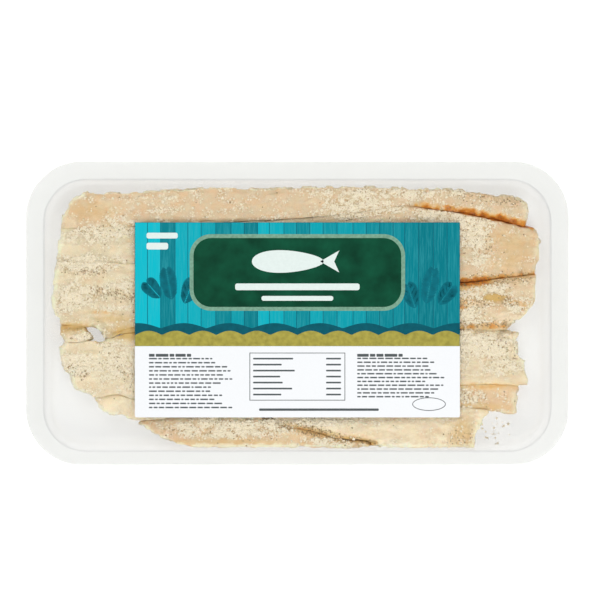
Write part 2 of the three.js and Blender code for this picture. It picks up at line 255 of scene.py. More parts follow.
# Amber in cracks and on cut faces, partly the flesh's own colour and partly painted glow and shade:
# two ends and reach to each side in mm, and strength.
AMBER = (
    (50, 45.2, 68, 43, 1.7, 0.85), (68, 43, 84, 40.2, 2.2, 1), (84, 40.2, 97, 36.8, 2.4, 1),
    (62, 13.4, 80, 14.6, 2.2, 0.95), (80, 14.6, 98, 17, 1.3, 0.7), (60, -5.4, 86, -5.4, 1.8, 0.65),
    (-6, -46.6, 31, -53.4, 2.2, 0.4), (25, -54.6, 31, -56, 2.2, 0.4), (66, -29.8, 92, -29.8, 1.4, 0.6),
    (66, 2.6, 71, 2.4, 1.6, 0.8), (89, 3.2, 97, 3.4, 1.1, 0.45), (-76.5, -8.4, -62, -8, 3.4, 0.12),
    (-97, -5.2, -89, -6.2, 2, 0.4), (-97, -8, -95, -8.5, 2, 0.5), (66, 11.6, 76, 11.8, 1.6, 0.3),
    (-64, -41, -58, -42, 3, 0.4), (66, -50, 71, -52, 4, 0.2),
)
# Amber patches on the strips' tops, most of them beside cracks: as SALTY, with their strength.
AMBER_PATCHES = (
    (-92.5, -5.6, 5, 1.3, 0.3), (-97, -8.5, 1.6, 2.2, 0.3), (69, 2.4, 3, 1.2, 0.8),
    (69, -51.5, 4.5, 4.5, 0.22), (30.5, -54.4, 3, 1.3, 0.34), (93, 3.2, 4, 0.8, 0.45),
    (-61, -41.5, 3, 2, 0.4), (92, 4.6, 5, 0.9, 0.5), (64, 43.4, 12, 1, 0.3), (14, -51.2, 17, 1.8, 0.3),
    (70, 12.8, 12, 1.9, 0.95), (72, 10.6, 7, 1.4, 0.5), (79, -30.6, 13, 1.9, 0.45), (93, 15.2, 5, 1.6, 0.4),
    (70.5, 5, 5, 2.4, 0.4), (-82, 0.4, 7, 1, 0.38), (85, 31.5, 8, 4, 0.12), (84, 20.5, 10, 2.4, 0.14),
)
# Lines of dark specks, partly pits and partly painted shade between grains: two ends and reach to each
# side in mm, and density; and the density elsewhere.
SPECKED = (
    (-85, 9.4, -69, 6.4, 2.4, 0.4), (-97, 18.5, -82, 18, 2.8, 0.35), (-98, -21, -88, -24, 2.6, 0.45),
    (-92, 36, -68, 34, 3, 0.1), (70, 36, 80, 28, 5, 0.14), (66, -10, 88, -16, 6, 0.16),
    (66, 4, 76, 4, 4, 0.3), (66, 12.6, 97, 15, 2.4, 0.4), (87, 6, 92, 2, 2.4, 0.4),
    (64, -5, 88, -5, 1.4, 0.5), (66, 7, 76, 3, 3, 0.25), (-56, -49, -10, -51, 3, 0.12),
    (-10, -46, 26, -53, 2, 0.7), (2, -49.4, 32, -54.2, 1.2, 0.8), (64, 49.5, 94, 46, 2.6, 0.25),
    (-93.4, -10.4, -92.6, -10.2, 0.5, 0.9), (-78, -20, -68, -28, 5, 0.12), (66, -52, 71, -50, 4, 0.16),
    (70, -34, 78, -36, 2, 0.2),
)
STRAY_SPECKS = 0.006
# Smooth places where the crust has rubbed off: as SALTY, with how honey-coloured they are.
BARE = (
    (82.6, 6.6, 4.8, 1.6, 1.6), (-76, -2.4, 9, 1.8, 0.55), (-69, -8.4, 10, 3, 1.3),
    (76, -38.5, 12, 1.6, 0.5), (90, 26, 7, 9, 0.35), (69, -50, 5, 6, 0.55), (-30, -54, 30, 1.6, 0.4),
    (-60, -40, 5, 3, 0.45), (4, -49, 6, 1.4, 0.6), (12, -50.4, 6, 1.4, 0.7), (20, -52, 5, 1.4, 1),
    (27, -53.2, 5, 1.2, 0.9), (31.5, -54.2, 2.4, 1.3, 1.2), (-86, 43, 12, 4, 0.35), (86, 27, 8, 8, 0.2),
    (-93, -6, 6, 2.4, 1), (70, 11.4, 7, 1.6, 0.4),
)
# Folds and lumps: two ends, half width and height in mm.
FOLDS = (
    (-92, -31, -64, -33, 1.3, 0.7), (-90, -0.5, -64, -2.2, 1.5, 0.7), (79, 10.6, 88, 11, 2.2, 0.9),
    (72, 29.5, 75, 30.5, 1.6, 0.8), (60, -47, 78, -41, 1.2, 0.6), (80, 6.6, 87, 6.6, 2.2, -0.9),
    (-95, 7, -66, 9.4, 0.8, -0.5), (-100, 19.5, -80, 20.5, 2.2, 0.5), (88, -20, 94, -27, 1.4, 0.5),
    (-94, -8, -88, -10, 1.6, 0.8), (74, -46, 79, -52, 1.4, 0.8), (60, 49.5, 96, 45, 0.9, 0.4),
)
# Relief, in mm: flakes, torn layers, swells, bare and salted roughness and fibres; and how deep notches
# and the nicks between them bite into a free edge.
FLAKE, LAYER, SWELL, ROUGH, CRUSTED, FIBRE = 0.1, 0.3, 0.2, 0.07, 0.5, 0.06
NOTCH, NICK = 0.95, 0.6
# Where the strips lean out past their plain solids: centre x and y, half length and half width, and how
# far they lean to the right and to the back, in mm. Their feet lean less than their tops.
LEANS = (
    (5, 52, 38, 5, 0, 1.5), (76, 51, 20, 5, 0, 2.3), (-92, 48, 8, 6, -1.2, 0.9), (-97, -7, 5, 6, -2.6, 0),
    (-101, 3, 5, 8, -1, 0), (-94, -23, 6, 6, -2, -0.8), (-89.5, -30, 5, 5, -2.8, -1.6),
    (-80, -39, 5, 5, -1.6, -1.6), (-72, -43.5, 9, 3, 0, -1.2), (92, -2, 3.5, 4, 1.6, -0.6),
    (94.5, -30.5, 4, 3.5, 3, -0.8), (92, -39, 3, 3, 0.8, -1.4), (85, -41, 9, 4, 0.3, -1.6),
    (77, -46, 4, 4, 0.8, -0.8), (20, -51, 10, 2.5, 0, -1.4),
)
FOOT_LEAN = 0.4
FLESH_SEED = 11


def noise_at(points, size, seed, octaves=1):
    """Noise from about -1 to 1 at each point. size is the length of its features along x, y, z in mm."""
    places = points / (np.array(size) * MM) + seed * 7.31
    if octaves > 1:
        return np.array([noise.fractal(Vector(p), 0.9, 2.1, octaves) for p in places])
    return np.array([noise.noise(Vector(p)) for p in places])


def flakes_at(points, size, seed):
    """0 in the grooves between flakes, rising to about 1 on them."""
    places = points / (np.array(size) * MM) + seed * 3.17
    near = np.array([noise.voronoi(Vector(p))[0][:2] for p in places])
    return np.clip((near[:, 1] - near[:, 0]) / 0.35, 0, 1)


def smooth_step(low, high, values):
    """0 up to low, 1 from high on, and an even curve between them."""
    t = np.clip((values - low) / (high - low), 0, 1)
    return t * t * (3 - 2 * t)


def clamped(value):
    return min(1, max(0, value))


def away_from(points, x0, y0, x1, y1):
    """Each point's distance from a line seen from above, in mm."""
    flat, start, along = points[:, :2] / MM, np.array((x0, y0)), np.array((x1 - x0, y1 - y0))
    share = np.clip((flat - start) @ along / (along @ along), 0, 1)
    return np.linalg.norm(flat - start - share[:, None] * along, axis=1)


def oval_away(points, x, y, half_x, half_y):
    """How far out of an oval each point is, seen from above: squared, and 1 on its rim."""
    return ((points[:, 0] / MM - x) / half_x) ** 2 + ((points[:, 1] / MM - y) / half_y) ** 2


def patches_at(points, patches):
    """How strongly the strongest of some soft-edged ovals covers each point."""
    total = np.zeros(len(points))
    for *oval, strength in patches:
        total = np.maximum(total, strength * np.exp(-oval_away(points, *oval) ** 1.5))
    return total


def bands_at(points, bands, full, none, base):
    """How strongly the strongest of some bands covers each point. Shares of a band's reach say how far
    from its line it is full, and from where there is none of it."""
    total = np.full(len(points), base)
    for *line, reach, strength in bands:
        away = away_from(points, *line)
        total = np.maximum(total, strength * (1 - smooth_step(full * reach, none * reach, away)))
    return total


def salt_at(points):
    """How thickly salt lies at each point, from 0 to 1: in patches, and in them in clusters."""
    patchy = noise_at(points, (7, 4.5, 40), 5, octaves=2)
    cluster = noise_at(points, (3.2, 2.4, 40), 6, octaves=3)
    salt = 1.3 * patches_at(points, SALTY) * (1 + 0.5 * patchy) + 0.1 + 0.35 * patchy
    salt = salt * (0.3 + 1.1 * smooth_step(-0.5, 0.5, cluster))
    return np.clip(salt * (1 - 0.9 * patches_at(points, BARE)), 0, 1)


def amber_at(points):
    """How deep the amber of cracks and cut faces, partly painted glow and shade, is at each point, from 0 to
    1.
    """
    return bands_at(points, AMBER, 0.4, 1.1, 0.0)


def specks_at(points):
    """How densely dark specks, partly pits and partly painted shade between grains, lie at each point."""
    return bands_at(points, SPECKED, 0.3, 1.3, STRAY_SPECKS)


def rows_of(elements, name, width):
    """A property of all vertices or faces of a mesh, a row for each."""
    values = np.zeros(len(elements) * width)
    elements.foreach_get(name, values)
    return values.reshape(-1, width)


def dense_mesh(node):
    """A CAD solid as one even, smooth, dense mesh."""
    bm = bmesh.new()
    bm.from_mesh(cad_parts[node].data)
    bmesh.ops.remove_doubles(bm, verts=bm.verts, dist=0.001 * MM)
    block = linked(node, mesh_of(bm, node))
    remesh = block.modifiers.new("even", "REMESH")
    remesh.mode, remesh.voxel_size = "VOXEL", VOXEL
    soften = block.modifiers.new("soft", "SMOOTH")
    soften.iterations, soften.factor = 3, 0.5
    dense = bpy.data.meshes.new_from_object(block.evaluated_get(bpy.context.evaluated_depsgraph_get()))
    bpy.data.objects.remove(block)
    return dense


def search_tree(nodes):
    """One search tree over the CAD solids of some nodes."""
    joined = bmesh.new()
    for node in nodes:
        joined.from_mesh(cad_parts[node].data)
    tree = BVHTree.FromBMesh(joined)
    joined.free()
    return tree


def meet_neighbours(node, points):
    """Moves a strip's sides up to the next strip and fills the groove, except where the seam gapes.
    Gives for each point, in mm, how deep in a seam it is, how far from the next strip and how far inside
    its own; then the share of its way to the seam that it was moved, and whether it is on the front
    strip of a gape and near an end of its strip."""
    own, others = search_tree([node]), search_tree([n for n in STRIPS if n != node])
    count = len(points)
    open_depth, limit, joined = np.full(count, GROOVE), np.full(count, CLOSED), np.ones(count)
    pressed = PRESSED + OVERLAP * (1 - smooth_step(1.5, 3, away_from(points, *TRIPLE)))
    for *line, depth in GAPES:
        near = 1 - smooth_step(2.5, 4.5, away_from(points, *line))
        open_depth = np.maximum(open_depth, depth * near)
    for line in BRIDGED:
        limit[away_from(points, *line) < 6] = BRIDGE
    for line in HOLES:
        joined = np.minimum(joined, smooth_step(1.8, 3.4, away_from(points, *line)))
    gaps, (depths, insets, moved, fronts, ends) = np.full(count, LONE_GAP), np.zeros((5, count))
    for i, point in enumerate(points):
        level = Vector((point[0], point[1], SIDE_LEVEL))
        side, side_normal, _, inset = own.find_nearest(level, OWN_REACH * MM)
        insets[i] = inset / MM if side is not None else OWN_REACH
        ends[i] = abs(side_normal.x) if side is not None else 0
        found = others.find_nearest(level, NEXT_REACH * MM)[0]
        if found is None:
            continue
        towards = Vector((found.x - point[0], found.y - point[1], 0))
        reach = towards.length
        gaps[i] = reach / MM
        if gaps[i] > limit[i] or reach < 0.01 * MM or insets[i] > SIDE_BAND:
            continue
        top = point[2]
        for step in (2.6, 1.3, 0.6):  # mm inward, to find the top of the strip beside this point
            inward = Vector(point) - towards / reach * step * MM
            above = own.ray_cast(Vector((inward.x, inward.y, CAST_FROM)), Vector((0, 0, -1)))[0]
            top = max(top, above.z) if above is not None else top
        depth = max(0, top - point[2]) / MM
        gape = open_depth[i]
        soft = 1 - clamped((gape - 0.6) / 0.4)  # 1 in a closed seam, 0 in a gaping one
        near = joined[i] * (clamped((3 - (gaps[i] - insets[i])) / 1.5) if limit[i] < BRIDGE else 1)
        behind = towards.y < 0
        if behind:  # a ragged slope that ends at the gape's foot
            ragged = 1 + 0.7 * noise.fractal(Vector(point) / (2.6 * MM), 0.8, 2.1, 3)
            open_share = min(1, max(0, depth - 0.15) / gape / ragged) ** 0.8
        else:  # a steep wall
            open_share = min(1, max(0, depth - 0.8 * gape) / (0.2 * gape))
        share = open_share * (1 - soft) * joined[i] + min(1, depth / EDGE) * soft * near
        if depth < EDGE:
            flat = GROOVE * depth / EDGE
        else:
            flat = depth - (EDGE - GROOVE) * max(0, 1 - (depth - EDGE) / 6)
        depths[i] = depth * (1 - soft * near) + flat * soft * near
        if behind:
            crest = max(0, 1 - insets[i] / SIDE_BAND) ** 1.5 * max(0, 1 - depth / 3)
            depths[i] += 0.45 * gape * crest * (1 - soft)
        if point[2] < 2 * MM:
            continue
        meets_at = 0.5 * soft + (0.92 if behind else 0.08) * (1 - soft)
        way = (reach + insets[i] * MM) * meets_at + pressed[i]
        points[i] += np.array(towards / reach * way) * share
        points[i][2] += (depth - depths[i]) * MM
        moved[i] = share
        fronts[i] = 0 if behind else 1 - soft
    return depths, gaps, insets, moved, fronts, ends


def flesh_mesh(node, seed):
    """A strip with its torn flakes, fibres and salt crust, and its colours as vertex attributes."""
    left, right, warm_left, warm_right, start, growth = STRIPS[node]
    mesh = dense_mesh(node)
    points, normals = rows_of(mesh.vertices, "co", 3), rows_of(mesh.vertices, "normal", 3)
    depths, gaps, insets, moved, fronts, ends = meet_neighbours(node, points)
    up, side = np.clip(normals[:, 2], 0, 1), 1 - np.abs(normals[:, 2])
    salt, amber, bare = salt_at(points), amber_at(points), patches_at(points, BARE)

    # Relief: flakes and torn layers all over, and notches where an edge is free.
    flakes = flakes_at(points, (8, 3.5, 6), seed)
    swell = noise_at(points, (9, 6, 6), seed, octaves=3)
    rough = noise_at(points, (1.7, 1.7, 1.7), seed + 1, octaves=3)
    fibres = noise_at(points, (11, 0.9, 0.9), seed + 2)
    torn = noise_at(points, (3, 3, 3), seed + 3, octaves=3)
    notches = NOTCH * smooth_step(0.0, 0.18, noise_at(points, (5.5, 5.5, 30), seed + 4))
    notches += NICK * smooth_step(0.05, 0.2, noise_at(points, (2.3, 2.3, 12), seed + 5))
    sheets = noise_at(points, (15, 5, 40), seed + 6, octaves=2)
    scraps = noise_at(points, (5, 2.4, 40), seed + 7, octaves=2)
    layers = smooth_step(-0.04, 0.04, sheets) + 0.6 * smooth_step(0.1, 0.18, scraps)
    lift = FLAKE * (flakes - 0.6) + LAYER * (layers - 0.6) * (1 - 0.4 * salt) + SWELL * swell
    lift += (ROUGH + CRUSTED * salt) * rough + FIBRE * fibres
    for *line, half, height in FOLDS:
        lift += height * np.exp(-(away_from(points, *line) / half) ** 2) * (1 + 0.4 * torn)
    outer = smooth_step(1.0, 3.0, gaps) * (1 - moved)
    edge = 1 - smooth_step(0.5, 3, insets)
    lift = lift * (0.35 + 0.65 * up) - edge * outer * (0.1 + notches + 0.3 * rough) * (side + 0.15)
    hollowed = 0.5 * side * (np.abs(torn) + 0.5 * notches)
    lift -= hollowed * (1 - outer) * (1 - moved) * smooth_step(0.5, 1.2, gaps)
    points += normals * (lift * MM)[:, None]
    points[:, 0] += growth * MM * np.clip((points[:, 0] / MM - start) / DRAWN_OVER, 0, DRAWN_MOST)
    points[:, 2] = np.maximum(points[:, 2], OFF_FLOOR)

    # Colour: tan and its warmth, amber in cracks (partly painted glow and shade, deeper down a seam), salt,
    # and a pale fringe where the flesh thins out (painted light through its thin edges).
    low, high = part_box(node)
    along = (points[:, 0] - low.x) / (high.x - low.x)
    tone = left + (right - left) * along + 0.3 * swell - 0.25 * (layers - 0.8) - 0.1 * (flakes - 0.5)
    warmth = np.clip(warm_left + (warm_right - warm_left) * along + 0.5 * torn, 0, 1)
    # Amber deepens further down a seam: painted shade and painted glow in the crack.
    upper = smooth_step(0.15, 0.9, depths + 0.3 * torn)
    inner = 0.65 * upper + 0.35 * smooth_step(0.9, 2.3, depths + 0.5 * torn)
    inner = inner * (1 - fronts) + smooth_step(0.6, 2.0, depths) * fronts
    amber = amber * (0.1 * (1 - fronts) + 0.9 * inner) * (1 - smooth_step(5.0, 7.0, gaps))
    amber = np.maximum(amber, patches_at(points, AMBER_PATCHES)) * (1 + 0.4 * torn + 0.25 * rough)
    amber = np.clip(amber, 0, 1)
    # A pale fringe at free edges: painted light through the thin flesh.
    fringe = 0.95 * (1 - smooth_step(0.3, 1, (insets + torn) / (0.9 + 2.5 * ends)))
    fringe *= smooth_step(1.5, 4, gaps)
    shown = (1 - bare) * (1 - 0.5 * smooth_step(55, 85, points[:, 0] / MM))
    fringe *= shown * (0.35 + 0.65 * smooth_step(0, 0.4, up))
    crust = salt * (0.25 + 0.75 * up) * (1 - 0.6 * fringe) * (1 - 0.6 * amber)
    main = np.stack([np.clip(tone, 0, 1), amber, crust, fringe], axis=1)
    mesh.attributes.new("flesh", "FLOAT_COLOR", "POINT").data.foreach_set("color", main.ravel())
    for name, values in (("honey", bare), ("warm", warmth), ("specks", specks_at(points) * (0.4 + up))):
        mesh.attributes.new(name, "FLOAT", "POINT").data.foreach_set("value", values)

    lean = np.zeros((len(points), 2))
    for *oval, lean_x, lean_y in LEANS:
        lean += np.exp(-oval_away(points, *oval))[:, None] * (lean_x, lean_y)
    upright = FOOT_LEAN + (1 - FOOT_LEAN) * smooth_step(1, 5, points[:, 2] / MM)
    points[:, :2] += lean * MM * upright[:, None]
    mesh.vertices.foreach_set("co", points.ravel())
    return mesh


# Dried flesh: dull where salt crusts it, waxy where it is bare, and a little see-through. Its cream turns
# to a cool or warm tan, to honey where it is bare, and paler at its thin edges, a painted light through them.
flesh, flesh_shader = new_material(
    "salted_dried_fish_flesh", IOR=1.45, Subsurface_Weight=0.3,
    Subsurface_Radius=(3 * MM, 1.6 * MM, 0.8 * MM), Subsurface_Scale=1,
)
flesh_place = add_node(flesh, "TexCoord").outputs["Object"]
flesh_made = add_node(flesh, "Attribute", attribute_name="flesh")
flesh_parts = add_node(flesh, "SeparateColor", {"Color": flesh_made.outputs["Color"]})
tan_share, amber_depth, salt_share = (flesh_parts.outputs[part] for part in ("Red", "Green", "Blue"))
fringe = flesh_made.outputs["Alpha"]
honey, warmth, specks = (
    add_node(flesh, "Attribute", attribute_name=name).outputs["Fac"] for name in ("honey", "warm", "specks")
)
mottle = add_node(
    flesh, "TexNoise", {"Vector": flesh_place}, Scale=1 / (2.2 * MM), Detail=4, Roughness=0.65
)
mottled = add_node(flesh, "Math", {0: mottle.outputs["Fac"]}, operation="MULTIPLY_ADD", i1=0.8, i2=-0.4)
tone_all = add_node(flesh, "Math", {0: mottled.outputs[0], 1: tan_share}, operation="ADD", use_clamp=True)
tan_mix = add_node(
    flesh, "Mix", {"Factor": warmth}, data_type="RGBA", i6=linear("D3C6A6"), i7=linear("DEBD94")
)
base_mix = add_node(
    flesh, "Mix", {"Factor": tone_all.outputs[0], 7: tan_mix.outputs[2]}, data_type="RGBA",
    i6=linear("F1E3C2"),
)
colour_now = base_mix.outputs[2]
# Honey where bare; the pale fringe is painted light through thin edges.
for share, colour in ((honey, "D2AF68"), (fringe, "EFECCE")):
    colour_now = add_node(
        flesh, "Mix", {"Factor": share, 6: colour_now}, data_type="RGBA", i7=linear(colour)
    ).outputs[2]
# Amber, deeper the further into the flesh a crack goes: painted shade and a painted glow of light
# through the flesh.
amber_glow_shade_ramp = add_node(flesh, "ValToRGB", {"Fac": amber_depth})
amber_glow_shade_ramp.color_ramp.elements[0].color = linear("E6C490")
amber_glow_shade_ramp.color_ramp.elements[1].color = linear("B0620E")
for share, colour in ((0.3, "E4BC7C"), (0.55, "DEA34A"), (0.8, "CE7E1C")):
    amber_glow_shade_ramp.color_ramp.elements.new(share).color = linear(colour)
amber_share = add_node(flesh, "Math", {0: amber_depth}, operation="MULTIPLY", use_clamp=True, i1=1.6)
amber_mix = add_node(
    flesh, "Mix", {"Factor": amber_share.outputs[0], 6: colour_now, 7: amber_glow_shade_ramp.outputs[0]},
    data_type="RGBA",
)
# Salt grains too fine to model: light grains, painted shade in the hollows between them, and dark specks,
# partly pits and partly painted shade. Their cells are 0.75 mm, about twice the size of the loose cubes,
# because cells as fine as those wouldn't show.
grit_shift = add_node(flesh, "TexNoise", {"Vector": flesh_place}, Scale=1 / (0.8 * MM), Detail=1)
grit_place = add_node(
    flesh, "VectorMath", {0: grit_shift.outputs["Color"], 2: flesh_place}, operation="MULTIPLY_ADD",
    i1=(0.6 * MM,) * 3,
)
grit = add_node(flesh, "TexVoronoi", {"Vector": grit_place.outputs[0]}, Scale=1 / (0.75 * MM))
grit_pick = add_node(flesh, "SeparateColor", {"Color": grit.outputs["Color"]})
grit_dot = add_node(
    flesh, "MapRange", {"Value": grit.outputs["Distance"]}, interpolation_type="SMOOTHSTEP", i1=0.3, i2=0.6,
    i3=1, i4=0,
)
grains = add_node(flesh, "TexNoise", {"Vector": flesh_place}, Scale=1 / (1.3 * MM), Detail=4, Roughness=0.75)
broken = add_node(
    flesh, "Math", {0: grit_pick.outputs["Green"], 2: grains.outputs[0]}, operation="MULTIPLY_ADD", i1=0.36
)
light_grains = add_node(
    flesh, "MapRange", {"Value": broken.outputs[0]}, interpolation_type="SMOOTHSTEP", i1=0.68, i2=0.82, i3=0,
    i4=0.8,
)
hollow_shade = add_node(
    flesh, "MapRange", {"Value": broken.outputs[0]}, interpolation_type="SMOOTHSTEP", i1=0.54, i2=0.7,
    i3=0.95, i4=0.06,
)
white_share = add_node(flesh, "Math", {0: salt_share, 1: light_grains.outputs[0]}, operation="MULTIPLY")
pits_and_shade = add_node(
    flesh, "Math", {0: specks, 2: salt_share}, operation="MULTIPLY_ADD", use_clamp=True, i1=1.3
)
hollow_shade_share = add_node(
    flesh, "Math", {0: pits_and_shade.outputs[0], 1: hollow_shade.outputs[0]}, operation="MULTIPLY", use_clamp=True
)
dark_limit = add_node(flesh, "Math", {1: specks}, operation="SUBTRACT", i0=1)
dark_here = add_node(
    flesh, "Math", {0: grit_pick.outputs["Red"], 1: dark_limit.outputs[0]}, operation="GREATER_THAN"
)
dark_share = add_node(flesh, "Math", {0: dark_here.outputs[0], 1: grit_dot.outputs[0]}, operation="MULTIPLY")
colour_now = amber_mix.outputs[2]
# Painted shade in the hollows, dark specks that are partly painted shade, then light grains.
for share, colour in ((hollow_shade_share, "AC9067"), (dark_share, "8A7350"), (white_share, "FFFAEC")):
    colour_now = add_node(
        flesh, "Mix", {"Factor": share.outputs[0], 6: colour_now}, data_type="RGBA", i7=linear(colour)
    ).outputs[2]
waxy = add_node(flesh, "MapRange", {"Value": salt_share}, i1=0, i2=0.6, i3=0.42, i4=0.7)
grain_height = add_node(flesh, "Math", {0: broken.outputs[0], 1: salt_share}, operation="MULTIPLY")
height_all = add_node(flesh, "Math", {0: grain_height.outputs[0], 1: mottle.outputs["Fac"]}, operation="ADD")
flesh_bump = add_node(flesh, "Bump", {"Height": height_all.outputs[0]}, Strength=0.6, Distance=0.25 * MM)
plug(flesh, flesh_shader, {
    "Base Color": colour_now, "Roughness": waxy.outputs[0], "Normal": flesh_bump.outputs["Normal"],
})

strips = []
for strip_name in STRIPS:
    strip = new_piece(strip_name + "_flesh", flesh_mesh(strip_name, FLESH_SEED), flesh)
    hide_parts(strip_name)
    strips.append(strip)

# ---- Salt ------------------------------------------------------------------------------------
# Loose salt left by the curing: small cubes and larger broken crystals that cling to the tops of
# the strips, thickest in patches. Low crust binds them, and a few crumbs lie on the tray's floor.


def upward_spots(count, seed, bare, power):
    """Random places on the strips' tops, as points and normals, more of them where salt lies thick, and
    the generator that picked them."""
    pick = np.random.default_rng(seed)
    centres, normals, areas = (
        np.concatenate([rows_of(strip.data.polygons, name, width) for strip in strips])
        for name, width in (("center", 3), ("normal", 3), ("area", 1))
    )
    upward = normals[:, 2] > 0.4
    centres, normals = centres[upward], normals[upward]
    amber_here = np.maximum(amber_at(centres), patches_at(centres, AMBER_PATCHES))
    weights = areas[upward, 0] * (bare + salt_at(centres) ** power) * np.clip(1 - 1.5 * amber_here, 0, 1)
    chosen = pick.choice(len(centres), count, p=weights / weights.sum())
    return centres[chosen] + pick.normal(0, 0.12 * MM, (count, 3)) * (1, 1, 0.3), normals[chosen], pick


def grains_mesh(name, grain, spots, normals, sizes, pick, sink):
    """Copies of one grain, each turned at random, as one mesh. sink is how deep they are bedded."""
    shape = np.array([v.co for v in grain.verts])
    faces = np.array([[v.index for v in f.verts] for f in grain.faces])
    turns = np.array([Euler(pick.uniform(0, math.tau, 3)).to_matrix() for _ in spots])
    stretch = pick.uniform(0.7, 1.25, (len(spots), 1, 3))
    verts = np.einsum("nij,nkj->nki", turns, shape[None] * stretch) * sizes[:, None, None]
    verts += (spots - normals * sizes[:, None] * sink)[:, None]
    loops = faces[None] + np.arange(len(spots))[:, None, None] * len(shape)
    mesh = bpy.data.meshes.new(name)
    mesh.from_pydata(verts.reshape(-1, 3), [], loops.reshape(-1, faces.shape[1]))
    return mesh


def scatter(name, grain, look, smooth, count, seed, bare, power, sizes, sink):
    """A piece of many grains on the strips' tops. bare is how many lie off the salt, power how much they
    keep to its thickest places, and sizes, in mm, the middle, its spread, the least and the most."""
    spots, normals, pick = upward_spots(count, seed, bare, power)
    middle, spread, least, most = sizes
    across = np.clip(pick.lognormal(math.log(middle * MM), spread, count), least * MM, most * MM)
    new_piece(name, grains_mesh(name, grain, spots, normals, across, pick, sink), look, smooth)
    grain.free()


def rounded_lump(subdivisions, uneven, detail, height=1):
    """A grain one unit across, knocked out of round."""
    lump = bmesh.new()
    bmesh.ops.create_icosphere(lump, subdivisions=subdivisions, radius=0.5)
    for corner in lump.verts:
        corner.co *= 1 + uneven * noise.noise(corner.co * detail)
        corner.co.z *= height
    return lump


def salt_material(name, roughness, ior, grain, detail, dark, light):
    """Salt tinted by the brine that dried on it, in spots as large as a grain or two."""
    look, shader = new_material(name, Roughness=roughness, IOR=ior)
    place = add_node(look, "TexCoord").outputs["Object"]
    tint = add_node(look, "TexNoise", {"Vector": place}, Scale=1 / grain, Detail=detail)
    mixed = add_node(
        look, "Mix", {"Factor": tint.outputs["Fac"]}, data_type="RGBA", i6=linear(dark), i7=linear(light)
    )
    plug(look, shader, {"Base Color": mixed.outputs[2]})
    return look


# Sodium chloride: flat-sided and a little glossy, some grains nearly white.
salt_look = salt_material("curing_salt", 0.4, 1.54, 1.5 * MM, 2, "E4D7B4", "FCF6E4")
cube = bmesh.new()
bmesh.ops.create_cube(cube, size=1)
scatter(
    "salt_fine", cube, salt_look, False, count=14500, seed=3, bare=0.01, power=1.3,
    sizes=(0.36, 0.3, 0.2, 0.7), sink=0.1,
)
crystal = rounded_lump(1, 0.35, 3)
scatter(
    "salt_coarse", crystal, salt_look, False, count=4200, seed=9, bare=0.001, power=1.8,
    sizes=(0.68, 0.3, 0.4, 1.3), sink=0.1,
)

# Crust: low, dull lumps of salt and dried brine that bind the grains together.
crust_look = salt_material("salt_crust", 0.65, 1.5, 0.7 * MM, 3, "E4D4B2", "FCF4E2")
lump = rounded_lump(1, 0.5, 4, 0.75)
scatter(
    "salt_crust", lump, crust_look, True, count=4600, seed=21, bare=0.001, power=2.1,
    sizes=(0.95, 0.35, 0.5, 2), sink=0.12,
)

# Crumbs of flesh and crust fallen on the tray's floor beside the front right end.
CRUMBS = 26
CRUMB_HEAP = (82, 4, -49, 3)  # middle and spread in x, then in y, in mm
STRAYS = slice(None, None, 6)  # every sixth has strayed out along x
floor_pick = np.random.default_rng(31)
floor_spots = np.column_stack([
    floor_pick.normal(*CRUMB_HEAP[:2], CRUMBS), floor_pick.normal(*CRUMB_HEAP[2:], CRUMBS),
    np.full(CRUMBS, SHEET / MM),
]) * MM
floor_spots[STRAYS, 0] = floor_pick.uniform(76, 94, len(floor_spots[STRAYS])) * MM
floor_sizes = np.clip(floor_pick.lognormal(math.log(0.6 * MM), 0.4, CRUMBS), 0.35 * MM, 0.9 * MM)
floor_spots[:, 2] += 0.5 * floor_sizes
floor_up = np.tile((0, 0, 1), (CRUMBS, 1))
crumb = rounded_lump(2, 0.6, 3.5)
crumbs = grains_mesh("crumbs", crumb, floor_spots, floor_up, floor_sizes, floor_pick, 0)
new_piece("crumbs", crumbs, crust_look)
crumb.free()

# ---- Lid film --------------------------------------------------------------------------------
# Clear film, heat-sealed all round over the flange and pulled taut, so it is flat and glossy. It
# mirrors little of what is straight above it and much at a low angle, as any clear plastic does.

MIRROR_ABOVE, MIRROR_GRAZING = 0.028, 0.9
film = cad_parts["lid_film"]
film_look = bpy.data.materials.new("clear_lid_film")
film_look.use_nodes = True
film_look.node_tree.nodes.remove(film_look.node_tree.nodes["Principled BSDF"])
clear = add_node(film_look, "BsdfTransparent")
gloss = add_node(film_look, "BsdfGlossy", Roughness=0.04)
facing = add_node(film_look, "LayerWeight", Blend=0.5)
grazing = add_node(film_look, "Math", {0: facing.outputs["Facing"]}, operation="POWER", i1=5)
mirror = add_node(
    film_look, "Math", {0: grazing.outputs[0]}, operation="MULTIPLY_ADD", i1=MIRROR_GRAZING, i2=MIRROR_ABOVE
)
film_mix = add_node(film_look, "MixShader", {0: mirror.outputs[0], 1: clear.outputs[0], 2: gloss.outputs[0]})
plug(film_look, film_look.node_tree.nodes["Material Output"], {"Surface": film_mix.outputs[0]})
film.data.materials.clear()
film.data.materials.append(film_look)

# ---- Label -----------------------------------------------------------------------------------
# A printed paper label with a glossy varnish, stuck on the film. Its print is plain fields of
# colour and simple shapes: teal boards, a green plate with a fish, a yellow wave, and grey rules.

label_low, label_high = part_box("label")
PRINT = 0.008 * MM  # thickness of a layer of print
sheet_top = label_low.z + 0.08 * MM
FIELD_BOTTOM = -13.8 * MM


def level(layer):
    """The height of the top of a layer of print; 0 is the paper."""
    return sheet_top + layer * PRINT


